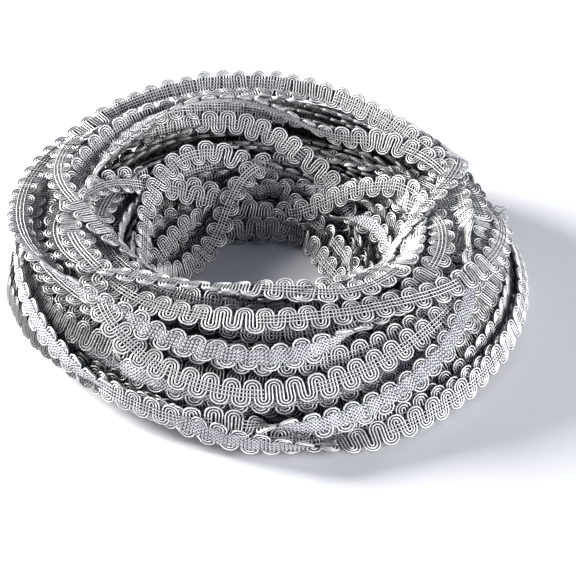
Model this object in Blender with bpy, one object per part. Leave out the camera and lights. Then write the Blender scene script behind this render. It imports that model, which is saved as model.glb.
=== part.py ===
"""Gimp braid trim wound into a loose round hank that lies on its side.

Units are metres, +Z is up, and the origin is the middle of the hank's footprint at floor level.
+X is to the right and +Y is to the back.  The whole hank is one length of braid, so it is one
solid: a ring whose section changes round the hank, its skin stepped by the main rows of turns,
joined to the few turns that have slipped out of the rows and cross them.
"""
import math

import bmesh
import bpy
import numpy as np
from mathutils import Vector

MM = 0.001

# Braid
BRAID_WIDTH = 10.0 * MM
PACKET_THICKNESS = 1.6 * MM

# Hank: how finely it is cut, and how its rounded foot meets the floor
STATIONS = 80
FOOT_ROUNDING = 2.0 * MM
FLOOR_CLEARANCE = 0.4 * MM
SLOPE_STEP = 0.02

# Rows of turns: how far they stand out and how deep the grooves between them are.  A row rises at
# ROW_RISE of its width, is lower by ROW_ROUNDING at ROW_TOP, and has its groove at ROW_GROOVE.
ROWS = 12
ROW_PROUD = 1.5 * MM
ROW_TUCK = 1.7 * MM
ROW_RISE = 0.06
ROW_TOP = 0.55
ROW_GROOVE = 0.94
ROW_ROUNDING = 0.9

# Unevenness of the rows: (waves round the hank, phase step from row to row, size)
ROW_WANDER = ((2, 1.9, 0.0126), (3, 2.7, 0.0076))
ROW_SWELL = ((3, 2.3, 0.9 * MM), (7, 1.0, 0.45 * MM))

# Strands that cross the rows
STRAND_STEP = 6.0 * MM
STRAND_LEAST_STEPS = 6
STRAND_SAMPLES = 60
STRAND_PROUD = 1.8 * MM
STRAND_TUCK = 7.0 * MM
STRAND_TUCK_POWER = 4
STRAND_ROOT = 5.0 * MM
RUN_STEP = 0.01

MATERIAL_COLOUR = (0.42, 0.43, 0.45, 1.0)
MATERIAL_ROUGHNESS = 0.45
MATERIAL_METALLIC = 0.55

# The hank's section, looked at from above at eight places anticlockwise from +X.
# Radii and heights in millimetres; belly is how far the outer side bulges at half its height.
#  angle  inner_foot  inner_top  crown  outer_top  outer_foot  inner_height  crown_height
#  outer_height  belly
SECTIONS = (
    (0, 31, 55, 70, 87, 96, 27, 33, 25, 2.0),
    (45, 30, 54, 69, 84, 90, 29, 36, 33, 2.0),
    (90, 33, 60, 80, 92, 92, 27, 40, 39, 2.0),
    (135, 37, 62, 76, 90, 90, 28, 38, 38, 2.0),
    (180, 42, 57, 73, 93, 90, 27, 34, 30, 4.2),
    (225, 38, 51, 62, 79, 76, 29, 33, 26, 7.0),
    (270, 35, 45, 55, 72, 93, 31, 33, 23, 2.0),
    (315, 34, 47, 59, 77, 94, 29, 33, 24, 2.0),
)

# Strands that lie across the rows, each from one place on the skin to another.
# Angles in degrees; along runs over the skin from the outer foot (0) to the inner foot (1), and
# bow is how much further along the strand's middle runs; lift is how far its middle stands off
# the skin, in millimetres.
#  name             from_angle  from_along  to_angle  to_along  bow  lift
STRANDS = (
    ("falling_turn", 90, 0.64, 234, 0.68, 0.22, 2.5),
    ("left_turn", 140, 0.30, 228, 0.84, 0.0, 3.5),
    ("right_turn", 342, 0.86, 400, 0.34, 0.0, 3.5),
    ("right_slip", 378, 0.46, 274, 0.11, 0.0, 2.5),
    ("top_turn", 198, 0.42, 336, 0.62, 0.08, 2.0),
    ("front_slip", 202, 0.46, 250, 0.20, 0.0, 2.5),
    ("back_arch", 52, 0.64, 142, 0.42, 0.0, 3.5),
)


def hermite(before, start, end, after, part):
    """Cubic from start to end whose slopes come from the values on both sides."""
    slope_in = (end - before) / 2
    slope_out = (after - start) / 2
    return (start * (1 - part) ** 2 * (1 + 2 * part) + end * part ** 2 * (3 - 2 * part)
            + slope_in * part * (1 - part) ** 2 - slope_out * part ** 2 * (1 - part))


def periodic(values, turn):
    """Smooth value at a fraction of a turn, through evenly spaced values round the hank."""
    count = len(values)
    place = (turn % 1.0) * count
    index = int(place)
    near = (values[(index + step) % count] for step in (-1, 0, 1, 2))
    return hermite(*near, place - index)


def section_guide(turn):
    """Radius and height of the section's six guide points, from outer foot to inner foot."""
    columns = [periodic(column, turn) * MM for column in tuple(zip(*SECTIONS))[1:]]
    inner_foot, inner_top, crown, outer_top, outer_foot, inner_h, crown_h, outer_h, belly = columns
    return np.array((
        (outer_foot, 0.0), ((outer_foot + outer_top) / 2 + belly, outer_h / 2),
        (outer_top, outer_h), (crown, crown_h), (inner_top, inner_h), (inner_foot, 0.0)))


def skin_point(turn, along):
    """Radius and height on the section's skin; along is 0 at the outer foot and 1 at the inner."""
    guide = section_guide(turn)
    lengths = np.concatenate(([0.0], np.cumsum(np.linalg.norm(np.diff(guide, axis=0), axis=1))))
    place = min(max(along, 0.0), 1.0) * lengths[-1]
    index = min(int(np.searchsorted(lengths, place, side="right")) - 1, len(guide) - 2)
    part = (place - lengths[index]) / (lengths[index + 1] - lengths[index])
    before = guide[max(index - 1, 0)]
    after = guide[min(index + 2, len(guide) - 1)]
    return hermite(before, guide[index], guide[index + 1], after, part)


def skin_normal(turn, along):
    """Direction off the skin in the section's plane."""
    ahead = skin_point(turn, along + SLOPE_STEP)
    behind = skin_point(turn, along - SLOPE_STEP)
    run = (ahead - behind) / np.linalg.norm(ahead - behind)
    return np.array((run[1], -run[0]))


def waves(table, row, turn):
    """Sum of a table's waves for one row at a fraction of a turn."""
    return sum(size * math.sin(count * math.tau * turn + phase * row)
               for count, phase, size in table)


def row_edge(row, turn):
    """Place along the skin where a row starts; the rows wander a little round the hank."""
    wander = 0.0 if row in (0, ROWS) else waves(ROW_WANDER, row, turn)
    return row / ROWS + wander


def ring_section(turn):
    """Outline of the hank at one station: a proud and a tucked edge for each row, on flat feet."""
    outline = [skin_point(turn, 0.0) - np.array((FOOT_ROUNDING, 0.0))]
    for row in range(ROWS):
        start, end = row_edge(row, turn), row_edge(row + 1, turn)
        proud = ROW_PROUD + waves(ROW_SWELL, row, turn)
        shape = ((ROW_RISE, proud), (ROW_TOP, proud * ROW_ROUNDING), (ROW_GROOVE, -ROW_TUCK))
        for share, off in shape:
            along = start + (end - start) * share
            point = skin_point(turn, along) + skin_normal(turn, along) * off
            outline.append(np.array((point[0], max(point[1], FLOOR_CLEARANCE))))
    outline.append(skin_point(turn, 1.0) + np.array((FOOT_ROUNDING, 0.0)))
    return outline


def place(radius, height, turn):
    """World position of a point in the section's plane."""
    angle = math.tau * turn
    return Vector((radius * math.cos(angle), radius * math.sin(angle), height))


def loft(name, loops, closed):
    """Closed mesh through loops of points; its ends are capped unless the loft is a ring."""
    mesh = bpy.data.meshes.new(name)
    builder = bmesh.new()
    rings = [[builder.verts.new(point) for point in loop] for loop in loops]
    count = len(rings[0])
    spans = len(rings) if closed else len(rings) - 1
    for index in range(spans):
        near, far = rings[index], rings[(index + 1) % len(rings)]
        for corner in range(count):
            following = (corner + 1) % count
            builder.faces.new((near[corner], near[following], far[following], far[corner]))
    if not closed:
        builder.faces.new(rings[0])
        builder.faces.new(reversed(rings[-1]))
    bmesh.ops.triangulate(builder, faces=builder.faces)
    bmesh.ops.recalc_face_normals(builder, faces=builder.faces)
    if builder.calc_volume(signed=True) < 0:
        bmesh.ops.reverse_faces(builder, faces=builder.faces)
    builder.to_mesh(mesh)
    builder.free()
    return bpy.data.objects.new(name, mesh)


def make_ring():
    """The stepped ring of the rows of turns."""
    loops = []
    for station in range(STATIONS):
        turn = station / STATIONS
        loops.append([place(radius, height, turn) for radius, height in ring_section(turn)])
    return loft("hank", loops, closed=True)


def strand_middle(strand, share):
    """Middle of a crossing strand and the direction of its width there."""
    _, from_angle, from_along, to_angle, to_along, bow, lift = strand
    turn = (from_angle + (to_angle - from_angle) * share) / 360
    along = from_along + (to_along - from_along) * share + bow * math.sin(math.pi * share) ** 2
    point = skin_point(turn, along)
    normal = skin_normal(turn, along)
    rise = lift * MM * math.sin(math.pi * share) + STRAND_PROUD
    rise -= STRAND_TUCK * abs(2 * share - 1) ** STRAND_TUCK_POWER
    middle = point + normal * rise
    return place(middle[0], middle[1], turn), place(normal[0], normal[1], turn), rise


def make_strand(strand):
    """One packet of turns that crosses the rows, its ends tucked into the ring."""
    samples = [strand_middle(strand, share) for share in np.linspace(0, 1, STRAND_SAMPLES)]
    length = sum((b[0] - a[0]).length for a, b in zip(samples, samples[1:]))
    count = max(int(length / STRAND_STEP), STRAND_LEAST_STEPS)
    loops = []
    for index in range(count + 1):
        share = index / count
        middle, normal, rise = strand_middle(strand, share)
        ahead = strand_middle(strand, min(share + RUN_STEP, 1.0))[0]
        behind = strand_middle(strand, max(share - RUN_STEP, 0.0))[0]
        run = (ahead - behind).normalized()
        width = run.cross(normal).normalized()
        off = width.cross(run).normalized()
        half_width = width * BRAID_WIDTH / 2
        top = off * PACKET_THICKNESS / 2
        root = off * (rise + STRAND_ROOT)
        loops.append((middle - half_width - root, middle + half_width - root,
                      middle + half_width + top, middle - half_width + top))
    return loft(strand[0], loops, closed=False)


def make_material():
    """Silver grey braid."""
    material = bpy.data.materials.new("braid")
    material.use_nodes = True
    shader = material.node_tree.nodes["Principled BSDF"]
    shader.inputs["Base Color"].default_value = MATERIAL_COLOUR
    shader.inputs["Roughness"].default_value = MATERIAL_ROUGHNESS
    shader.inputs["Metallic"].default_value = MATERIAL_METALLIC
    return material


def main():
    for item in list(bpy.data.objects):
        bpy.data.objects.remove(item, do_unlink=True)
    parts = bpy.data.collections.new("gimp_braid_trim")
    joined = bpy.data.collections.new("crossing_strands")
    for group in (parts, joined):
        bpy.context.scene.collection.children.link(group)

    hank = make_ring()
    hank.data.materials.append(make_material())
    parts.objects.link(hank)
    for strand in STRANDS:
        piece = make_strand(strand)
        piece.hide_render = True
        piece.display_type = "WIRE"
        joined.objects.link(piece)
        union = hank.modifiers.new(strand[0], "BOOLEAN")
        union.operation = "UNION"
        union.solver = "EXACT"
        union.object = piece


main()
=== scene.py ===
"""Looks of the wound gimp braid: every turn of the hank as real braid, its floor, light and camera.

The hank is one long strip of gimp.  Its turns start from a short table of layers and slip where a
second table says so, and the turns wound on last follow a table of their own.  All are then pushed
apart step by step, which leaves some that pass through each other where the pile is tight.
The braid itself is drawn along that path: three metallic strands that run to and fro in a
serpentine, held together on the back by a narrow knitted band and on the face by fine stitches.
"""
import math
from functools import partial

import bpy
import numpy as np
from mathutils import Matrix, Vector


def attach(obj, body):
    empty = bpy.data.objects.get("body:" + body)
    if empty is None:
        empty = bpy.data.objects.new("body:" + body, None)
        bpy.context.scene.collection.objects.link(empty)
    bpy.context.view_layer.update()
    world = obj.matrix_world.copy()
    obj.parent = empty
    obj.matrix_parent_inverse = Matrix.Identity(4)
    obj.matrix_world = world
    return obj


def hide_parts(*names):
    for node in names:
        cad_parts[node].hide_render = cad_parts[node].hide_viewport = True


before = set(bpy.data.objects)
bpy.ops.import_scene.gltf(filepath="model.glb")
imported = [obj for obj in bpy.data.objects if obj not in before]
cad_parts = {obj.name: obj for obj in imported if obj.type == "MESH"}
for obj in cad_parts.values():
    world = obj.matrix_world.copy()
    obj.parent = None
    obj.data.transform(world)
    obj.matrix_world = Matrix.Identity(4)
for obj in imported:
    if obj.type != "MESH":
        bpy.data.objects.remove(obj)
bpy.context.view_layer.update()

MM = 0.001

# Photograph's view: the camera's angle over the floor in degrees, its distance from the point in
# the picture's middle, that point, and the lens and its sensor in millimetres
CAMERA_ELEVATION = 36.0
CAMERA_DISTANCE = 540 * MM
CAMERA_TARGET = (7.4 * MM, -15.3 * MM, 13.2 * MM)
CAMERA_LENS = 91.8
SENSOR_WIDTH = 36.0
CLIP_START = 10 * MM

# Braid, in millimetres: one repeat holds one scallop on each edge.  Every yarn is a tube of four
# sides, and the braid stops END_MARGIN short of the path's ends.
BRAID_WIDTH = 10.0
REPEAT = 7.3
HALF_REPEAT = REPEAT / 2
TUBE_SIDES = 4
END_MARGIN = 1.0

# Strands: they lie STRAND_DIP lower at the braid's edges and as much higher at its middle, and an
# arc is cut into more steps the wider it is.  Each scallop is a little off its place, along the
# braid and across it.
STRANDS = (-1, 0, 1)
STRAND_PITCH = 1.12
STRAND_WIDTH = 0.86
STRAND_DEPTH = 1.0
STRAND_DIP = 0.10
SCALLOP_FLATTENING = 0.80
SCALLOP_CENTRE = (BRAID_WIDTH / 2 - (HALF_REPEAT / 2 + STRAND_PITCH) * SCALLOP_FLATTENING
                  - STRAND_WIDTH / 2)
ARC_STEPS_FINE = (3, 4, 6)
ARC_STEPS_PLAIN = (2, 3, 4)
JITTER_COUNT = 997
JITTER_ALONG = 0.20
JITTER_ACROSS = 0.22

# Knitted band on the back: it swells and sways with the scallops, and its lumps repeat with the
# strands along it and KNIT_LANES times across.  A cut is its steps a repeat and points across.
KNIT_WIDTH = 5.0
KNIT_OFFSET = 0.60
KNIT_LUMP = 0.26
KNIT_SWELL = 0.5
KNIT_SWAY = 0.35
KNIT_LANES = 4
KNIT_LANE_SHARE = 0.8
KNIT_EDGE = 0.2
KNIT_CUT_FULL = (12, 9)
KNIT_CUT_PLAIN = (4, 4)

# Stitch lines on the face: they come in runs of about STITCH_RUN, whose last part is left bare,
# and dip between the strands
STITCH_OFFSET = 0.50
STITCH_WIDTH = 0.46
STITCH_DIP = 0.10
STITCH_PLACES = (-1.25, 0.0, 1.25)
STITCHED_SHARE = 0.8
STITCH_RUN = 90.0
STITCH_RUN_RANGE = (0.6, 1.4)
STITCH_STEPS = 8

# Hank's section at eight places anticlockwise from +X, in millimetres, as the solid has it
#  inner_foot  inner_top  crown  outer_top  outer_foot  inner_height  crown_height  outer_height
#  belly
SECTIONS = np.array((
    (31, 55, 70, 87, 96, 27, 33, 25, 2.0),
    (30, 54, 69, 84, 90, 29, 36, 33, 2.0),
    (33, 60, 80, 92, 92, 27, 40, 39, 2.0),
    (37, 62, 76, 90, 90, 28, 38, 38, 2.0),
    (42, 57, 73, 93, 90, 27, 34, 30, 4.2),
    (38, 51, 62, 79, 76, 29, 33, 26, 7.0),
    (35, 45, 55, 72, 93, 31, 33, 23, 2.0),
    (34, 47, 59, 77, 94, 29, 33, 24, 2.0),
), dtype=float)
SKIN_LENGTH = 105.0

# Layers of turns.  along runs over the skin from the outer foot (0) to the inner foot (1), and
# depth is how far below it a turn's middle lies, in millimetres.  lean is the direction of the
# braid's width, from 0 (flat, outwards) over 90 (on edge) to 180 (flat, inwards); "skin" leans are
# added to the skin's own direction.  Depths and leans are at the right, back, left and front of the
# hank.  The turns named as turned over show their knitted back, and only fine layers have the
# knitted band and the stitches.
#  layer        turns  along_from  along_to  depths  leans  measured_from  turned_over  fine
LAYERS = (
    ("foot", 1, 0.06, 0.06, (27, 27, 27, 27), (90, 88, 92, 95), "level", (), True),
    ("under_foot", 8, 0.16, 0.87, (27, 27, 27, 27), (90, 88, 92, 95), "level", (), False),
    ("inner_foot", 1, 0.98, 0.98, (27, 27, 27, 27), (90, 84, 88, 95), "level", (), False),
    ("under_middle", 7, 0.20, 0.86, (16, 16, 16, 16), (92, 88, 95, 98), "level", (), False),
    ("wall_back", 4, 0.10, 0.37, (4.4, 4.4, 4.4, 4.4), (12, 6, 12, 14), "skin", (1,), False),
    ("wall", 3, 0.07, 0.36, (1.5, 1.0, 2, 2.5), (12, 6, 12, 16), "skin", (1,), True),
    ("under_crown", 8, 0.44, 0.68, (9, 5, 9, 13), (128, 146, 145, 108), "level", (), False),
    ("crown", 2, 0.50, 0.64, (4, 3, 2, 4), (165, 150, 196, 128), "level", (), True),
    ("slope_back", 4, 0.72, 0.96, (4.6, 4.6, 4.2, 4.6), (18, 22, 10, 12), "skin", (0, 2), True),
    ("slope", 4, 0.71, 0.97, (1.5, 1.5, 1, 1.5), (20, 26, 4, 14), "skin", (1,), True),
)

# The turns wound on last, which lie over the others.  Angles run on in degrees from turn to turn
# and start at the seam, along is as above, out is off the skin in millimetres, and lean is against
# the skin: 0 shows the strands, 180 the knitted back and 90 stands on edge.
#  angle  along   out  lean
COURSE = (
    (75, 0.70, 4.0, -6), (90, 0.62, 2.5, 10), (104, 0.56, 0.5, 20), (122, 0.48, -6.0, 60),
    (160, 0.34, -4.0, 120), (195, 0.27, 1.5, 190), (215, 0.19, 2.0, 200),
    (240, 0.10, 2.0, 190), (258, 0.06, 2.0, 186), (275, 0.05, 1.5, 190), (290, 0.06, 1.5, 10),
    (310, 0.07, 1.0, 6), (335, 0.09, 1.0, 12), (380, 0.15, 1.0, 10), (435, 0.14, 1.0, 8),
    (555, 0.10, 1.0, 10), (595, 0.14, 2.0, 30), (612, 0.10, 3.0, -20), (626, 0.12, 2.0, 20),
    (635, 0.11, 3.0, 195), (650, 0.13, 3.5, 190), (662, 0.17, 3.5, 188), (675, 0.23, 3.5, 184),
    (690, 0.31, 4.0, 180), (704, 0.43, 4.0, 120), (718, 0.47, 4.5, 40), (745, 0.43, 4.0, 14),
    (765, 0.48, 2.0, 30), (780, 0.60, 0.0, 60), (795, 0.62, 3.0, 95), (806, 0.55, 6.0, 88),
    (820, 0.49, 6.5, 92), (836, 0.46, 5.0, 110), (860, 0.50, 3.0, 170),
    (885, 0.55, 3.0, 100), (900, 0.56, 3.0, 10), (925, 0.52, 3.0, 0), (936, 0.46, 4.0, 10),
    (948, 0.35, 4.0, 14),
    (960, 0.24, 3.0, 20), (975, 0.21, 3.0, 8), (990, 0.21, 2.5, 8), (1005, 0.24, 2.0, 6),
    (1020, 0.29, 2.0, 4), (1035, 0.32, 2.0, 6), (1050, 0.35, 2.0, 8), (1080, 0.36, 1.0, 10),
    (1095, 0.40, 2.0, 30), (1110, 0.44, 3.5, 46), (1125, 0.46, 4.0, 50), (1142, 0.44, 4.0, 60),
    (1170, 0.41, 3.5, 76), (1200, 0.38, 4.0, 60),
    (1230, 0.34, 3.5, 40), (1260, 0.34, 3.0, 20), (1288, 0.40, 3.0, 60), (1302, 0.41, 3.5, 165),
    (1325, 0.35, 2.5, 186), (1350, 0.34, 2.5, 182), (1365, 0.38, 2.5, 150), (1380, 0.43, 2.5, 10),
    (1395, 0.45, 2.5, 4), (1410, 0.46, 3.0, 0), (1430, 0.50, 2.5, 4), (1460, 0.62, 1.0, 10),
    (1490, 0.76, -4.0, 20), (1515, 0.72, -5.0, 20), (1530, 0.66, 0.0, 0), (1541, 0.72, 4.0, -14),
    (1551, 0.84, 6.0, -16), (1562, 0.93, 7.5, -14), (1578, 0.99, 9.5, -10), (1596, 1.00, 12.0, -4),
    (1612, 0.99, 10.0, 0), (1626, 0.90, 6.0, 6), (1642, 0.79, 3.0, 10), (1660, 0.71, 2.5, 0),
    (1710, 0.69, 2.0, -4),
    (1740, 0.70, 2.0, 0), (1765, 0.80, 2.0, 0), (1786, 0.94, 4.0, -4), (1806, 0.99, 8.0, -8),
    (1830, 0.99, 8.5, -8), (1850, 0.97, 5.0, 0), (1872, 0.92, 2.0, 10), (1895, 0.89, 2.0, 20),
    (1920, 0.80, 1.0, 10), (1950, 0.62, 0.0, 30),
    (1980, 0.46, 1.0, 20), (2002, 0.44, 3.0, 40), (2014, 0.52, 4.5, 10), (2030, 0.59, 4.0, -16),
    (2050, 0.61, 3.5, -22), (2070, 0.60, 3.0, -24), (2100, 0.58, 3.0, -14), (2125, 0.62, 2.5, -4),
    (2140, 0.73, 4.0, 0), (2154, 0.71, 5.0, 0), (2166, 0.60, 6.0, 0), (2177, 0.44, 7.0, 0),
    (2189, 0.32, 5.0, 0), (2210, 0.24, 2.0, 10), (2250, 0.22, 1.5, 10), (2285, 0.26, 1.5, 10),
    (2300, 0.34, 3.0, 10), (2310, 0.38, 4.0, 10), (2325, 0.42, 4.0, -4), (2345, 0.58, 4.5, -8),
    (2364, 0.72, 4.0, 0), (2384, 0.82, 2.0, 4), (2410, 0.84, 1.0, 10), (2460, 0.82, 1.0, 8),
    (2490, 0.86, 2.0, 10), (2520, 0.93, 3.0, 0), (2550, 0.92, 3.0, 0), (2572, 0.89, 2.0, 10),
    (2592, 0.88, 1.0, 10), (2612, 0.76, -4.0, 30), (2628, 0.64, 1.0, 10), (2645, 0.63, 4.0, -6),
    (2668, 0.73, 4.0, -8), (2690, 0.84, 3.5, 0), (2715, 0.82, 2.0, 10), (2745, 0.75, 1.5, 0),
    (2775, 0.72, 1.0, 0), (2792, 0.66, 2.5, 0), (2806, 0.57, 4.5, 0), (2822, 0.52, 4.0, 4),
    (2840, 0.53, 4.0, 4), (2860, 0.60, 4.0, 6), (2876, 0.64, 4.5, 20), (2892, 0.56, 5.0, 30),
    (2906, 0.58, 5.0, 10), (2924, 0.70, 4.0, -6), (2940, 0.82, 3.0, 0), (2955, 0.88, 3.0, 10),
    (2975, 0.90, 3.0, 20), (3000, 0.84, 2.0, 10), (3022, 0.70, 2.0, 0), (3045, 0.56, 3.5, 0),
    (3070, 0.49, 4.5, 6), (3092, 0.50, 4.0, -10), (3112, 0.46, 2.0, 6), (3140, 0.49, 1.5, 6),
    (3165, 0.50, 2.0, 0), (3185, 0.45, 4.0, 4), (3210, 0.38, 4.0, 0), (3232, 0.31, 4.0, 0),
    (3248, 0.27, 3.0, 0), (3258, 0.30, -4.0, 0), (3280, 0.34, -8.0, 10), (3315, 0.36, -8.0, 10),
)
COURSE_TURNS = 9

# The course's turns that get the full knit, and how far the course strays from its rows, in
# millimetres and degrees: random steps, evened out, the leans' taken from another part of the turn
COURSE_TURNED_OVER = (0, 1, 3)
COURSE_WANDER = 0.7
COURSE_LEAN_WANDER = 9.0
COURSE_EVENING_PASSES = 30
COURSE_LEAN_LAG = 32

# Painted shade: layers that lie in the others' shadow get a darker copy of the yarn's material
SHADES = {"under_foot": "deep_shade", "under_middle": "deep_shade", "wall_back": "shaded",
          "under_crown": "shaded", "slope_back": "muted", "slope": "muted", "inner_foot": "muted"}

# Height of the lowest turns over the floor, at the same eight places, and how far the middle of a
# turn stays off it on edge and flat
LIFT_OFF_FLOOR = (0, 0, 0, 0, 3, 6, 0, 0)
HALF_WIDTH_OFF_FLOOR = 5.6
HALF_DEPTH_OFF_FLOOR = 1.0

# Turns are cut into stations.  Each leads into the next over SEAM_SPREAD degrees before the seam.
STATIONS = 96
SEAM_ANGLE = 75.0
SEAM_SPREAD = 60.0

# How far a layer's turns stray, in millimetres and degrees, and in how many waves round the hank
WANDER = 1.4
WANDER_WAVES = (1, 2, 3, 5)
SHIFT_WANDER = 3.6
SHIFT_WAVES = (1, 2, 3)
LEAN_WANDER = 24.0
LEAN_WAVES = (1, 2, 3, 4)
SEED = 7

# Steps to either side over which the slope of the skin and the run of the braid are measured
SLOPE_STEP = 0.02
RUN_STEP = 0.02

# Turns that leave their layer for a while.  Angles in degrees; out is off the skin and shift
# along it towards the inner foot, in millimetres; lean in degrees.
#  layer     turn  angle  spread  out   shift  lean
SLIPS = (
    ("crown", 0, 130, 70, 4.0, -4.0, 60),
    ("crown", 1, 350, 55, 2.0, -6.0, 10),
    ("under_crown", 0, 120, 80, 3.0, 0.0, 0),
    ("under_crown", 7, 140, 60, 3.0, 10.0, -60),
    ("under_crown", 5, 160, 50, 5.0, -4.0, 30),
    ("wall", 2, 215, 40, 0.0, 7.0, 20),
    ("wall", 1, 320, 60, 0.0, 6.0, 0),
    ("wall", 0, 245, 40, 0.0, 5.0, -10),
    ("slope", 2, 150, 45, 4.0, 0.0, 10),
    ("slope", 0, 80, 35, -1.0, 4.0, 50),
    ("slope", 1, 30, 50, 3.0, -10.0, 15),
)

# Loose yarns at the right: start, middle and end of each, in millimetres, and their kinks
LOOSE_YARNS = (
    ((82.5, 12.0, 27.0), (86.0, 9.5, 31.5), (89.5, 7.0, 29.5)),
    ((83.0, 11.0, 27.0), (87.5, 10.0, 29.0), (90.5, 11.5, 32.0)),
    ((83.0, 12.5, 27.0), (85.5, 12.5, 32.0), (88.0, 9.0, 33.0)),
    ((82.5, 11.5, 27.5), (87.0, 6.5, 28.5), (88.0, 5.0, 26.5)),
)
LOOSE_STEPS = 14
LOOSE_RADIUS = 0.32
LOOSE_KINK = 0.5
LOOSE_WAVES = 11.0

# How turns are pushed apart: a turn's section is a row of discs that keep DISC_SPACE from those of
# other turns.  In each step it moves and turns by the discs' push times a gain, is evened out along
# the braid, and is drawn a little back to where it was laid.
RELAX_STEPS = 70
MOVE_GAIN = 2.2
TURN_GAIN = 1.6
CHAIN_EVENING = 0.22
LAYER_HOLD = 0.01
COURSE_HOLD = 0.03
DISC_PLACES = np.linspace(-4.2, 4.2, 7)
DISC_SPACE = 1.62
LEAST_DISTANCE = 1e-6
LEAST_RUN = 1e-9

# Metallic yarn.  Its tone comes from the film's twist, from fine patches and from painted light:
# a painted highlight on each strand's ridge and painted shade in the grooves between strands; the
# stops give the colour for each tone, and the shares how much of it each lit or shaded copy keeps.
# Here and below, a pair is a noise's scale and detail, or a relief's strength and height in metres.
YARN_SHARES = (("silver_strand", 1.0), ("muted_strand", 0.75), ("shaded_strand", 0.56),
               ("deep_shade_strand", 0.28))
YARN_COLOUR = (0.6, 0.61, 0.63)
YARN_METALLIC = 0.40
YARN_ROUGHNESS = 0.40
YARN_ROUGHNESS_FROM = 0.27
YARN_ROUGHNESS_RANGE = 0.40
YARN_TWIST = 9.0
YARN_TWIST_SHARE = 0.10
YARN_PATCHES = (900.0, 3.0)
YARN_PAINTED_LIGHT_SHARE = 0.75
YARN_TONE_SHARE = 0.55
YARN_BUMP = (0.5, 0.0002)
YARN_STOPS = ((0.30, (0.030, 0.033, 0.046)), (0.46, (0.26, 0.265, 0.275)),
              (0.70, (0.60, 0.60, 0.605)), (1.0, (0.88, 0.875, 0.865)))

# Knitted band.  Two sets of slanting threads, THREAD_ALONG millimetres apart along the braid and
# THREAD_ACROSS across it, wavered and mottled by one noise.
THREAD_COLOUR = (0.60, 0.61, 0.64)
THREAD_ROUGHNESS = 0.55
THREAD_METALLIC = 0.20
THREAD_ALONG = 1.35
THREAD_ACROSS = 1.2
THREAD_NOISE = (420.0, 2.0)
THREAD_WAVER = 3.0
THREAD_MOTTLE = 0.6
THREAD_BUMP = (1.0, 0.0005)
THREAD_STOPS = ((0.24, (0.05, 0.055, 0.07)), (0.46, (0.24, 0.25, 0.28)),
                (0.68, (0.43, 0.44, 0.475)), (0.98, (0.66, 0.66, 0.69)))

# Floor, sky and lights, in metres and watts.  The sky is brightest at the horizon.
FLOOR_SIZE = 6.0
FLOOR_COLOUR = (0.80, 0.81, 0.83)
FLOOR_ROUGHNESS = 0.9
SKY_STOPS = ((0.02, (0.97, 0.98, 1.0)), (0.16, (0.82, 0.86, 0.93)), (0.30, (0.10, 0.115, 0.15)),
             (1.0, (0.015, 0.018, 0.03)))
SKY_STRENGTH = 1.9
#  name     location             size  power  colour
LIGHTS = (
    ("key", (-0.92, 0.36, 0.43), 0.44, 34.0, (1.0, 0.985, 0.96)),
    ("front", (0.10, -1.08, 0.14), 0.36, 6.0, (1.0, 0.99, 0.98)),
    ("side", (1.02, -0.40, 0.32), 0.40, 15.0, (0.98, 0.99, 1.0)),
)


def periodic(values, turn):
    """Smooth values at fractions of a turn, through evenly spaced values round the hank."""
    values = np.asarray(values, dtype=float)
    count = len(values)
    place = (turn % 1.0) * count
    index = np.floor(place).astype(int) % count
    part = place - np.floor(place)
    if values.ndim > 1:
        part = part[:, None]
    before, start = values[(index - 1) % count], values[index]
    end, after = values[(index + 1) % count], values[(index + 2) % count]
    return hermite(before, start, end, after, part)


def hermite(before, start, end, after, part):
    """Cubic through start and end with slopes taken from the points round them."""
    slope_in = (end - before) / 2
    slope_out = (after - start) / 2
    return (start * (1 - part) ** 2 * (1 + 2 * part) + end * part ** 2 * (3 - 2 * part)
            + slope_in * part * (1 - part) ** 2 - slope_out * part ** 2 * (1 - part))


def skin_point(turn, along):
    """Radius and height on the hank's skin for arrays of turn fractions and places along it."""
    inner_foot, inner_top, crown, outer_top, outer_foot, inner_h, crown_h, outer_h, belly = (
        periodic(SECTIONS, turn).T)
    zero = np.zeros_like(inner_foot)
    radii = np.stack((outer_foot, (outer_foot + outer_top) / 2 + belly, outer_top, crown,
                      inner_top, inner_foot))
    heights = np.stack((zero, outer_h / 2, outer_h, crown_h, inner_h, zero))
    guide = np.stack((radii, heights), axis=-1)
    steps = np.linalg.norm(np.diff(guide, axis=0), axis=-1)
    lengths = np.concatenate((zero[None], np.cumsum(steps, axis=0)))
    place = np.clip(along, 0.0, 1.0) * lengths[-1]
    index = np.clip((lengths <= place).sum(axis=0) - 1, 0, len(guide) - 2)
    lanes = np.arange(len(place))
    part = ((place - lengths[index, lanes]) / (lengths[index + 1, lanes] - lengths[index, lanes]))
    return hermite(guide[np.maximum(index - 1, 0), lanes], guide[index, lanes],
                   guide[index + 1, lanes], guide[np.minimum(index + 2, len(guide) - 1), lanes],
                   part[:, None])


def skin_frame(turn, along):
    """Skin point, direction along the skin from outer to inner, and direction off the skin."""
    along = np.clip(along, 0.0, 1.0)
    ahead = skin_point(turn, along + SLOPE_STEP)
    behind = skin_point(turn, along - SLOPE_STEP)
    run = ahead - behind
    run /= np.linalg.norm(run, axis=1, keepdims=True)
    normal = np.stack((run[:, 1], -run[:, 0]), axis=1)
    return skin_point(turn, along), run, normal


def smooth_noise(random, count, waves):
    """Periodic noise of a few low waves round the hank, about -1 to 1."""
    turn = np.arange(count) / count * math.tau
    total = np.zeros(count)
    for wave in waves:
        total += random.normal() * np.sin(wave * turn + random.uniform(0, math.tau))
    return total / math.sqrt(len(waves))


def bump(turn, angle, spread):
    """Raised cosine round an angle, in degrees."""
    away = np.abs((turn * 360 - angle + 180) % 360 - 180)
    return np.where(away < spread, 0.5 + 0.5 * np.cos(np.pi * away / spread), 0.0)


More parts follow.
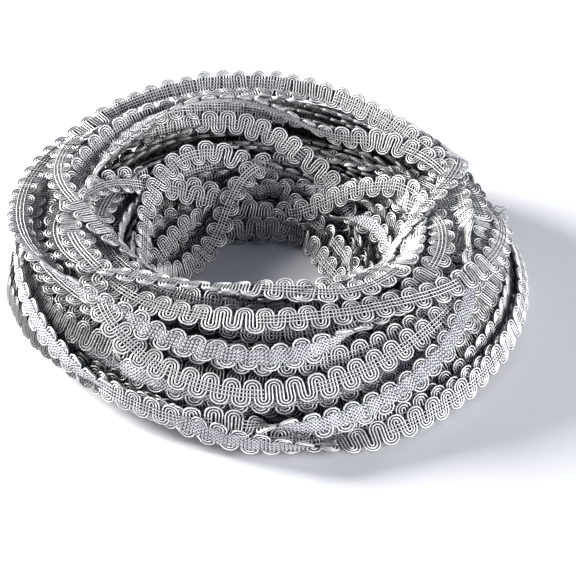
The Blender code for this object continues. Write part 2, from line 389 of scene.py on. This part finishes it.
def lay_turns():
    """Middle and lean of every layered turn's section before they are pushed apart."""
    random = np.random.default_rng(SEED)
    turn = np.arange(STATIONS) / STATIONS
    middles, leans = [], []
    for layer, turns, along_from, along_to, depths, lean_row, measured_from, over, _ in LAYERS:
        for number in range(turns):
            share = number / max(turns - 1, 1)
            along = np.full(STATIONS, along_from + (along_to - along_from) * share)
            stray = smooth_noise(random, STATIONS, SHIFT_WAVES)
            along = along + SHIFT_WANDER / SKIN_LENGTH * stray
            out = -periodic(depths, turn)
            lean = periodic(lean_row, turn)
            for slip_layer, slip_turn, angle, spread, slip_out, shift, slip_lean in SLIPS:
                if (slip_layer, slip_turn) == (layer, number):
                    amount = bump(turn, angle, spread)
                    out = out + slip_out * amount
                    along = along + shift / SKIN_LENGTH * amount
                    lean = lean + slip_lean * amount
            point, run, normal = skin_frame(turn, along)
            if measured_from == "skin":
                lean = lean + np.degrees(np.unwrap(np.arctan2(run[:, 1], run[:, 0])))
                middle = point + normal * out[:, None]
            else:
                middle = point + np.array((0.0, 1.0)) * out[:, None]
                lowest = HALF_WIDTH_OFF_FLOOR + periodic(LIFT_OFF_FLOOR, turn)
                middle[:, 1] = np.maximum(middle[:, 1], lowest)
            wander = np.stack([smooth_noise(random, STATIONS, WANDER_WAVES) for _ in range(2)], 1)
            middles.append(middle + WANDER * wander)
            lean = lean + LEAN_WANDER * smooth_noise(random, STATIONS, LEAN_WAVES)
            leans.append(lean + 180.0 * (number in over))
    return np.array(middles), np.radians(np.array(leans))


def lay_course():
    """Middle and lean of the last turns, through the course's rows."""
    random = np.random.default_rng(SEED + 2)
    rows = np.array(COURSE, dtype=float)
    angle = SEAM_ANGLE + 360.0 * np.arange(COURSE_TURNS * STATIONS) / STATIONS
    index = np.clip(np.searchsorted(rows[:, 0], angle, side="right") - 1, 0, len(rows) - 2)
    part = ((angle - rows[index, 0]) / (rows[index + 1, 0] - rows[index, 0]))[:, None]
    ease = part * part * (3 - 2 * part)
    along, out, lean = (rows[index, 1:] * (1 - ease) + rows[index + 1, 1:] * ease).T
    turn = angle / 360.0
    point, run, normal = skin_frame(turn, along)
    slope = np.degrees(np.unwrap(np.arctan2(run[:, 1], run[:, 0])))
    noise = random.normal(size=(len(angle), 2))
    for _ in range(COURSE_EVENING_PASSES):
        noise = (noise + np.roll(noise, 1, axis=0) + np.roll(noise, -1, axis=0)) / 3
    middles = point + normal * out[:, None] + COURSE_WANDER * noise / noise.std()
    lean = lean + COURSE_LEAN_WANDER * np.roll(noise[:, 0], COURSE_LEAN_LAG) / noise.std()
    shape = (COURSE_TURNS, STATIONS)
    return middles.reshape(shape + (2,)), np.radians(lean + slope).reshape(shape)


def blend_seams(middles, leans, next_middle, next_lean):
    """Lead each turn into the next one across the seam at the back, so the braid is one length."""
    shift = round(SEAM_ANGLE / 360 * STATIONS)
    middles = np.roll(middles, -shift, axis=1)
    leans = np.roll(leans, -shift, axis=1)
    blended, turned = middles.copy(), leans.copy()
    reach = round(SEAM_SPREAD / 360 * STATIONS)
    ramp = 0.5 - 0.5 * np.cos(np.pi * (np.arange(reach) + 1) / (reach + 1))
    span = slice(STATIONS - reach, STATIONS)
    share = ramp[:, None]
    for index in range(len(middles)):
        last = index == len(middles) - 1
        middle = next_middle if last else middles[index + 1, span]
        lean = next_lean if last else leans[index + 1, span]
        blended[index, span] = middles[index, span] * (1 - share) + middle * share
        turned[index, span] = leans[index, span] * (1 - ramp) + lean * ramp
    angles = (np.arange(STATIONS) + shift) / STATIONS * math.tau
    return blended, turned, angles


def push_apart(middles, leans):
    """Move and turn the sections away from each other, step by step, and off the floor."""
    count = len(middles)
    home, home_leans = middles.copy(), leans.copy()
    hold = np.where(np.arange(count) < count - COURSE_TURNS, LAYER_HOLD, COURSE_HOLD)
    owner = np.repeat(np.arange(count), len(DISC_PLACES))
    others = np.triu(owner[:, None] != owner[None, :])
    lever = (DISC_PLACES ** 2).sum()
    for _ in range(RELAX_STEPS):
        across = np.stack((np.cos(leans), np.sin(leans)), axis=-1)
        discs = middles[:, :, None, :] + across[:, :, None, :] * DISC_PLACES[None, None, :, None]
        push = np.zeros_like(discs)
        for station in range(STATIONS):
            spots = discs[:, station].reshape(-1, 2)
            radius, height = spots.astype(np.float32).T
            squared = (radius[:, None] - radius) ** 2 + (height[:, None] - height) ** 2
            first, second = np.nonzero((squared < DISC_SPACE ** 2) & others)
            gap = spots[first] - spots[second]
            distance = np.sqrt((gap ** 2).sum(1)) + LEAST_DISTANCE
            shove = gap * ((DISC_SPACE - distance) / distance * 0.5)[:, None]
            moved = np.zeros_like(spots)
            for axis in (0, 1):
                moved[:, axis] = (np.bincount(first, shove[:, axis], len(spots))
                                  - np.bincount(second, shove[:, axis], len(spots)))
            moved[:, 1] += np.clip(DISC_SPACE / 2 - spots[:, 1], 0.0, None)
            push[:, station] = moved.reshape(count, -1, 2)
        middles = middles + push.mean(axis=2) * MOVE_GAIN
        side = np.stack((-across[..., 1], across[..., 0]), axis=-1)
        swing = ((push * side[:, :, None, :]).sum(-1) * DISC_PLACES).sum(-1) / lever
        leans = leans + swing * TURN_GAIN
        middles = smooth_chain(middles) + (home - middles) * hold[:, None, None]
        leans = smooth_chain(leans) + (home_leans - leans) * hold[:, None]
    reach = (np.abs(np.sin(leans)) * HALF_WIDTH_OFF_FLOOR
             + np.abs(np.cos(leans)) * HALF_DEPTH_OFF_FLOOR)
    middles[..., 1] = np.maximum(middles[..., 1], reach)
    return middles, leans


def smooth_chain(values):
    """Even out values along the one long braid, from turn to turn."""
    flat = values.reshape((-1,) + values.shape[2:])
    even = flat.copy()
    even[1:-1] += CHAIN_EVENING * (flat[:-2] - 2 * flat[1:-1] + flat[2:])
    return even.reshape(values.shape)


class Path:
    """The braid's middle line and the direction of its width, by distance along it."""

    def __init__(self, middles, leans, angles):
        radius, height = middles[..., 0].ravel(), middles[..., 1].ravel()
        angle = np.tile(angles, len(middles))
        lean = leans.ravel()
        out = np.stack((np.cos(angle), np.sin(angle), np.zeros_like(angle)), axis=1)
        self.points = out * radius[:, None]
        self.points[:, 2] = height
        self.width = out * np.cos(lean)[:, None]
        self.width[:, 2] = np.sin(lean)
        steps = np.linalg.norm(np.diff(self.points, axis=0), axis=1)
        self.distance = np.concatenate(([0.0], np.cumsum(steps)))
        self.length = self.distance[-1]

    def at(self, distance):
        """Middle, run, width and face directions at distances along the braid."""
        last = len(self.points) - 1
        index = np.clip(np.searchsorted(self.distance, distance, side="right") - 1, 0, last - 1)
        span = self.distance[index + 1] - self.distance[index]
        part = ((distance - self.distance[index]) / span)[:, None]
        stops = (np.maximum(index - 1, 0), index, index + 1, np.minimum(index + 2, last))
        middle = hermite(*(self.points[stop] for stop in stops), part)
        ahead = hermite(*(self.points[stop] for stop in stops), part + RUN_STEP)
        behind = hermite(*(self.points[stop] for stop in stops), part - RUN_STEP)
        run = unit(ahead - behind)
        width = hermite(*(self.width[stop] for stop in stops), part)
        width = unit(width - run * (width * run).sum(1, keepdims=True))
        return middle, run, width, np.cross(run, width)

    def lay(self, along, across, up):
        """World points, in metres, of places on the braid: along it, across it and off its face."""
        middle, _, width, face = self.at(along)
        return (middle + width * across[:, None] + face * up[:, None]) * MM


def unit(vectors):
    """Rows of vectors at length one."""
    return vectors / np.linalg.norm(vectors, axis=1, keepdims=True)


def strand_path(first, last, strand, arc_steps, jitter):
    """One strand's serpentine over half repeats first to last: place along and across the braid."""
    along, across = [], []
    offset = strand * STRAND_PITCH
    for leg in range(first, last):
        upward = 1.0 if leg % 2 == 0 else -1.0
        radius = HALF_REPEAT / 2 + offset * upward
        steps = arc_steps[1 + int(strand * upward)]
        centre = (leg + 0.5) * HALF_REPEAT
        swing = np.linspace(0, math.pi, steps + 1)
        off_along, off_across = jitter[leg % len(jitter)]
        along.append(centre + off_along - radius * np.cos(swing))
        across.append(upward * (SCALLOP_CENTRE + off_across
                                + radius * SCALLOP_FLATTENING * np.sin(swing)))
    return np.concatenate(along), np.concatenate(across)


def tube_points(path, along, across, up, half_width, half_depth):
    """Rings of a tube that follows a line drawn on the braid."""
    run_along = np.gradient(along)
    run_across = np.gradient(across)
    size = np.hypot(run_along, run_across) + LEAST_RUN
    side_along, side_across = -run_across / size, run_along / size
    rings = []
    for corner in range(TUBE_SIDES):
        angle = math.tau * corner / TUBE_SIDES
        sideways = half_width * math.cos(angle)
        rings.append(path.lay(along + side_along * sideways, across + side_across * sideways,
                              up + half_depth * math.sin(angle)))
    return np.stack(rings, axis=1)


def tube_faces(count, sides, first):
    """Quads of a tube of rings, as vertex numbers from first."""
    ring = np.arange(count - 1)[:, None] * sides
    corner = np.arange(sides)[None, :]
    following = (corner + 1) % sides
    quads = np.stack((ring + corner, ring + following, ring + sides + following,
                      ring + sides + corner), axis=-1)
    return quads.reshape(-1, 4) + first


class Builder:
    """Gathers points, quads and three values a point, and makes one mesh of them."""

    def __init__(self):
        self.points, self.quads, self.values, self.count = [], [], [], 0

    def tube(self, rings, values):
        """Add a closed tube of rings: painted shade at the side corners, painted highlight at the
        rest.
        """
        self.quads.append(tube_faces(len(rings), TUBE_SIDES, self.count))
        corners = np.arange(TUBE_SIDES)
        ends = np.array((corners[::-1], corners + (len(rings) - 1) * TUBE_SIDES))
        self.quads.append(ends + self.count)
        self.points.append(rings.reshape(-1, 3))
        # Painted light: side corners 0 for painted shade in the grooves, the others 1 for painted
        # highlight
        painted_light = np.tile(corners % 2, len(rings))
        self.values.append(np.column_stack((np.repeat(values, TUBE_SIDES, axis=0), painted_light)))
        self.count += len(rings) * TUBE_SIDES

    def make(self, name, material):
        """Turn what was gathered into one piece."""
        points = np.concatenate(self.points)
        quads = np.concatenate(self.quads)
        values = np.concatenate(self.values)
        mesh = bpy.data.meshes.new(name)
        mesh.vertices.add(len(points))
        mesh.vertices.foreach_set("co", points.astype(np.float32).ravel())
        mesh.loops.add(quads.size)
        mesh.loops.foreach_set("vertex_index", quads.astype(np.int32).ravel())
        mesh.polygons.add(len(quads))
        mesh.polygons.foreach_set("loop_start", np.arange(0, quads.size, 4, dtype=np.int32))
        mesh.update(calc_edges=True)
        mesh.validate()
        for index, label in enumerate(("along", "across", "painted_light")):
            attribute = mesh.attributes.new(label, "FLOAT", "POINT")
            attribute.data.foreach_set("value", values[:, index].astype(np.float32))
        mesh.shade_smooth()
        mesh.materials.append(material)
        piece = bpy.data.objects.new(name, mesh)
        bpy.context.scene.collection.objects.link(piece)
        return piece


def add_strands(builder, path, first, last, fine, jitter):
    """Three strands of the serpentine over a run of half repeats."""
    arc_steps = ARC_STEPS_FINE if fine else ARC_STEPS_PLAIN
    for strand in STRANDS:
        along, across = strand_path(first, last, strand, arc_steps, jitter)
        keep = (along > END_MARGIN) & (along < path.length - END_MARGIN)
        along, across = along[keep], across[keep]
        up = STRAND_DIP * np.cos(across / BRAID_WIDTH * math.pi * 2)
        rings = tube_points(path, along, across, up, STRAND_WIDTH / 2, STRAND_DEPTH / 2)
        run = np.concatenate(([0.0], np.cumsum(np.hypot(np.diff(along), np.diff(across)))))
        builder.tube(rings, np.stack((run, np.full_like(run, strand)), axis=1))


def add_knit(builder, path, start, end, steps_a_repeat, points_across):
    """Knitted band on the braid's back, drawn over the strands under it and in at each gap."""
    count = max(int((end - start) / REPEAT * steps_a_repeat), 2)
    along = np.linspace(start, end, count)
    places = np.linspace(-0.5, 0.5, points_across)
    wave = np.sin(along / REPEAT * math.tau)
    ribs = np.cos(along / STRAND_PITCH * math.tau)
    sheet = []
    for place in places:
        across = place * (KNIT_WIDTH + KNIT_SWELL * np.abs(wave)) + KNIT_SWAY * wave
        lump = KNIT_LUMP * (ribs + KNIT_LANE_SHARE * math.cos(place * math.tau * KNIT_LANES))
        sheet.append((across, -KNIT_OFFSET - lump * (1.0 if abs(place) < 0.5 else 0.0)))
    for place in (0.5, -0.5):
        sheet.append((np.full(count, place * KNIT_WIDTH), np.full(count, KNIT_EDGE - KNIT_OFFSET)))
    rings = np.stack([path.lay(along, across, up) for across, up in sheet], axis=1)
    sides = rings.shape[1]
    builder.quads.append(tube_faces(count, sides, builder.count))
    builder.points.append(rings.reshape(-1, 3))
    lane_places = np.concatenate((places, (0.5, -0.5))) * KNIT_WIDTH
    # Painted shade: the band's two face-side points get 0, so its face seen between the strands is
    # dark
    knit_painted_light = np.array([1.0] * points_across + [0.0, 0.0])
    builder.values.append(np.stack((np.repeat(along, sides), np.tile(lane_places, count),
                                    np.tile(knit_painted_light, count)), axis=1))
    builder.count += count * sides


def add_stitches(builder, path, start, end):
    """Fine stitch lines along the face, which dip between the strands."""
    count = max(int((end - start) / REPEAT * STITCH_STEPS), 4)
    along = np.linspace(start, end, count)
    for place in STITCH_PLACES:
        up = STITCH_OFFSET + STITCH_DIP * np.cos(along / STRAND_PITCH * math.tau)
        rings = tube_points(path, along, np.full(count, place), up, STITCH_WIDTH / 2,
                            STITCH_WIDTH / 2)
        builder.tube(rings, np.stack((along, np.full(count, place)), axis=1))


def add_loose_end(material):
    """A few yarn ends that have sprung out of the hank at the right."""
    builder = Builder()
    for number, (start, middle, end) in enumerate(LOOSE_YARNS):
        share = np.linspace(0.0, 1.0, LOOSE_STEPS)[:, None]
        start, middle, end = (np.array(place, dtype=float) for place in (start, middle, end))
        line = start * (1 - share) ** 2 + middle * 2 * share * (1 - share) + end * share ** 2
        line[:, 2] += LOOSE_KINK * np.sin(share[:, 0] * LOOSE_WAVES + number)
        run = unit(np.gradient(line, axis=0))
        side = unit(np.cross(run, (0.0, 0.0, 1.0)))
        up = np.cross(side, run)
        rings = np.stack([line + (side * x + up * y) * LOOSE_RADIUS
                          for x, y in ((1, 0), (0, 1), (-1, 0), (0, -1))], axis=1)
        distance = share[:, 0] * np.linalg.norm(end - start)
        builder.tube(rings * MM, np.stack((distance, np.zeros_like(distance)), axis=1))
    return builder.make("loose_yarns", material)


def new_material(name, colour, roughness, metallic):
    """A material with its nodes, links and shader."""
    material = bpy.data.materials.new(name)
    material.use_nodes = True
    shader = material.node_tree.nodes["Principled BSDF"]
    shader.inputs["Base Color"].default_value = (*colour, 1.0)
    shader.inputs["Roughness"].default_value = roughness
    shader.inputs["Metallic"].default_value = metallic
    return material, material.node_tree.nodes, material.node_tree.links, shader


def attribute_node(nodes, label):
    """Value that the mesh carries under a label."""
    node = nodes.new("ShaderNodeAttribute")
    node.attribute_name = label
    return node.outputs["Fac"]


def math_node(nodes, links, operation, first, second=None):
    """Result of one operation on numbers or other nodes' results."""
    node = nodes.new("ShaderNodeMath")
    node.operation = operation
    for index, value in enumerate((first, second)):
        if value is None:
            continue
        if isinstance(value, (int, float)):
            node.inputs[index].default_value = value
        else:
            links.new(value, node.inputs[index])
    return node.outputs[0]


def noise_node(nodes, links, place, scale, detail):
    """Noise of a scale and detail at a place."""
    node = nodes.new("ShaderNodeTexNoise")
    node.inputs["Scale"].default_value = scale
    node.inputs["Detail"].default_value = detail
    links.new(place, node.inputs["Vector"])
    return node.outputs["Fac"]


def colour_ramp(nodes, links, factor, stops):
    """Colour that runs through stops of position and colour."""
    node = nodes.new("ShaderNodeValToRGB")
    ramp = node.color_ramp
    ramp.elements[0].position, ramp.elements[0].color = stops[0][0], (*stops[0][1], 1.0)
    ramp.elements[1].position, ramp.elements[1].color = stops[-1][0], (*stops[-1][1], 1.0)
    for position, colour in stops[1:-1]:
        ramp.elements.new(position).color = (*colour, 1.0)
    links.new(factor, node.inputs["Fac"])
    return node.outputs["Color"]


def add_bump(nodes, links, shader, height, strength, distance):
    """Fine relief on a shader."""
    node = nodes.new("ShaderNodeBump")
    node.inputs["Strength"].default_value = strength
    node.inputs["Distance"].default_value = distance
    links.new(height, node.inputs["Height"])
    links.new(node.outputs["Normal"], shader.inputs["Normal"])


def strand_material(name, share):
    """Metallic yarn: bright film twisted round a grey core, with painted shade where strands touch.
    """
    material, nodes, links, shader = new_material(name, YARN_COLOUR, YARN_ROUGHNESS, YARN_METALLIC)
    calculate = partial(math_node, nodes, links)
    place = nodes.new("ShaderNodeTexCoord").outputs["Object"]
    twist = calculate("SINE", calculate("MULTIPLY", attribute_node(nodes, "along"), YARN_TWIST))
    patches = noise_node(nodes, links, place, *YARN_PATCHES)
    tone = calculate("ADD", calculate("MULTIPLY", twist, YARN_TWIST_SHARE), patches)
    # Painted light: ridges lighter and the grooves between strands darker, as shade falls there
    painted_light = calculate("MULTIPLY", attribute_node(nodes, "painted_light"), YARN_PAINTED_LIGHT_SHARE)
    tone = calculate("ADD", calculate("MULTIPLY", tone, YARN_TONE_SHARE), painted_light)
    # Painted shade: the share darkens the whole yarn for layers that lie in shadow
    stops = [(stop, tuple(share * part for part in colour)) for stop, colour in YARN_STOPS]
    links.new(colour_ramp(nodes, links, tone, stops), shader.inputs["Base Color"])
    rough = calculate("ADD", calculate("MULTIPLY", patches, YARN_ROUGHNESS_RANGE),
                      YARN_ROUGHNESS_FROM)
    links.new(rough, shader.inputs["Roughness"])
    add_bump(nodes, links, shader, tone, *YARN_BUMP)
    return material


def knit_material():
    """Fine pale knitting with small dark holes between its threads, and painted shade on its face
    side.
    """
    material, nodes, links, shader = new_material("knitted_back", THREAD_COLOUR, THREAD_ROUGHNESS,
                                                  THREAD_METALLIC)
    calculate = partial(math_node, nodes, links)
    place = nodes.new("ShaderNodeTexCoord").outputs["Object"]
    noise = noise_node(nodes, links, place, *THREAD_NOISE)
    along = calculate("ADD", calculate("MULTIPLY", noise, THREAD_WAVER), calculate(
        "MULTIPLY", attribute_node(nodes, "along"), math.tau / THREAD_ALONG))
    across = calculate("MULTIPLY", attribute_node(nodes, "across"), math.tau / THREAD_ACROSS)
    thread = calculate("MAXIMUM", calculate("SINE", calculate("ADD", along, across)),
                       calculate("SINE", calculate("SUBTRACT", along, across)))
    lifted = calculate("ADD", calculate("MULTIPLY", thread, 0.5), 0.5)
    mottle = calculate("MULTIPLY", calculate("SUBTRACT", noise, 0.5), THREAD_MOTTLE)
    # Painted shade: the band's face side, seen between the strands, goes dark
    tone = calculate("MULTIPLY", calculate("ADD", lifted, mottle), attribute_node(nodes, "painted_light"))
    links.new(colour_ramp(nodes, links, tone, THREAD_STOPS), shader.inputs["Base Color"])
    add_bump(nodes, links, shader, lifted, *THREAD_BUMP)
    return material


def build_braid(path, turn_ends):
    """Strands, knitted back and stitch lines for every layer, one piece for each kind and layer."""
    random = np.random.default_rng(SEED + 1)
    jitter = np.stack([random.normal(0, size, JITTER_COUNT)
                       for size in (JITTER_ALONG, JITTER_ACROSS)], axis=1)
    silvers = {name: strand_material(name, share) for name, share in YARN_SHARES}
    silver, knit = silvers["silver_strand"], knit_material()
    pieces = []
    total_legs = int(path.length / HALF_REPEAT) - 1
    turn = 0
    groups = [(layer, turns, over, is_fine) for layer, turns, *_, over, is_fine in LAYERS]
    groups.append(("course", COURSE_TURNS, COURSE_TURNED_OVER, True))
    for layer, turns, over, is_fine in groups:
        start, end = turn_ends[turn], turn_ends[turn + turns]
        first, last = math.ceil(start / HALF_REPEAT), min(math.ceil(end / HALF_REPEAT), total_legs)
        builder = Builder()
        add_strands(builder, path, first, last, is_fine, jitter)
        # Painted shade: layers that lie in shadow take a darker copy of the yarn's material
        kind = SHADES.get(layer, "silver")
        pieces.append(builder.make("strands_" + layer, silvers[kind + "_strand"]))
        if is_fine:
            builder = Builder()
            for number in range(turns):
                cut = KNIT_CUT_FULL if number in over else KNIT_CUT_PLAIN
                add_knit(builder, path, turn_ends[turn + number],
                         min(turn_ends[turn + number + 1], path.length - END_MARGIN), *cut)
            pieces.append(builder.make("knit_" + layer, knit))
            builder = Builder()
            place = start
            while place + STITCH_RUN < end:
                run = random.uniform(*STITCH_RUN_RANGE) * STITCH_RUN
                add_stitches(builder, path, place, place + run * STITCHED_SHARE)
                place += run
            pieces.append(builder.make("stitches_" + layer, silver))
        turn += turns
    pieces.append(add_loose_end(silver))
    return pieces


def make_camera():
    """The photograph's camera."""
    data = bpy.data.cameras.new("camera")
    data.lens = CAMERA_LENS
    data.sensor_width = SENSOR_WIDTH
    data.clip_start = CLIP_START
    camera = bpy.data.objects.new("camera", data)
    bpy.context.scene.collection.objects.link(camera)
    tilt = math.radians(CAMERA_ELEVATION)
    back = Vector((0.0, -math.cos(tilt), math.sin(tilt)))
    camera.location = Vector(CAMERA_TARGET) + back * CAMERA_DISTANCE
    camera.rotation_euler = (-back).to_track_quat("-Z", "Y").to_euler()
    bpy.context.scene.camera = camera


def make_floor():
    """Plain pale floor."""
    bpy.ops.mesh.primitive_plane_add(size=FLOOR_SIZE)
    floor = bpy.context.object
    floor.name = "floor"
    paper = new_material("floor_paper", FLOOR_COLOUR, FLOOR_ROUGHNESS, 0.0)[0]
    floor.data.materials.append(paper)


def add_light(name, location, size, power, colour):
    """A round lamp that shines at the middle of the hank's foot."""
    data = bpy.data.lights.new(name, "AREA")
    data.shape = "DISK"
    data.size = size
    data.energy = power
    data.color = colour
    lamp = bpy.data.objects.new(name, data)
    bpy.context.scene.collection.objects.link(lamp)
    lamp.location = location
    lamp.rotation_euler = (-Vector(location)).to_track_quat("-Z", "Y").to_euler()


def make_light():
    """Sky and lamps."""
    world = bpy.data.worlds.new("world")
    world.use_nodes = True
    nodes, links = world.node_tree.nodes, world.node_tree.links
    place = nodes.new("ShaderNodeTexCoord").outputs["Generated"]
    split = nodes.new("ShaderNodeSeparateXYZ")
    links.new(place, split.inputs[0])
    sky = colour_ramp(nodes, links, split.outputs["Z"], SKY_STOPS)
    links.new(sky, nodes["Background"].inputs["Color"])
    nodes["Background"].inputs["Strength"].default_value = SKY_STRENGTH
    bpy.context.scene.world = world
    for light in LIGHTS:
        add_light(*light)
    bpy.context.scene.view_settings.view_transform = "Standard"


def main():
    make_camera()
    make_floor()
    make_light()
    course_middles, course_leans = lay_course()
    middles, leans = lay_turns()
    middles, leans, angles = blend_seams(middles, leans, course_middles[0, 0], course_leans[0, 0])
    middles = np.concatenate((middles, course_middles))
    leans = np.concatenate((leans, course_leans))
    middles, leans = push_apart(middles, leans)
    path = Path(middles, leans, angles)
    turn_ends = [path.distance[min(index * STATIONS, len(path.distance) - 1)]
                 for index in range(len(middles) + 1)]
    pieces = build_braid(path, turn_ends)
    for piece in pieces:
        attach(piece, "root")
        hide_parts("hank")


main()
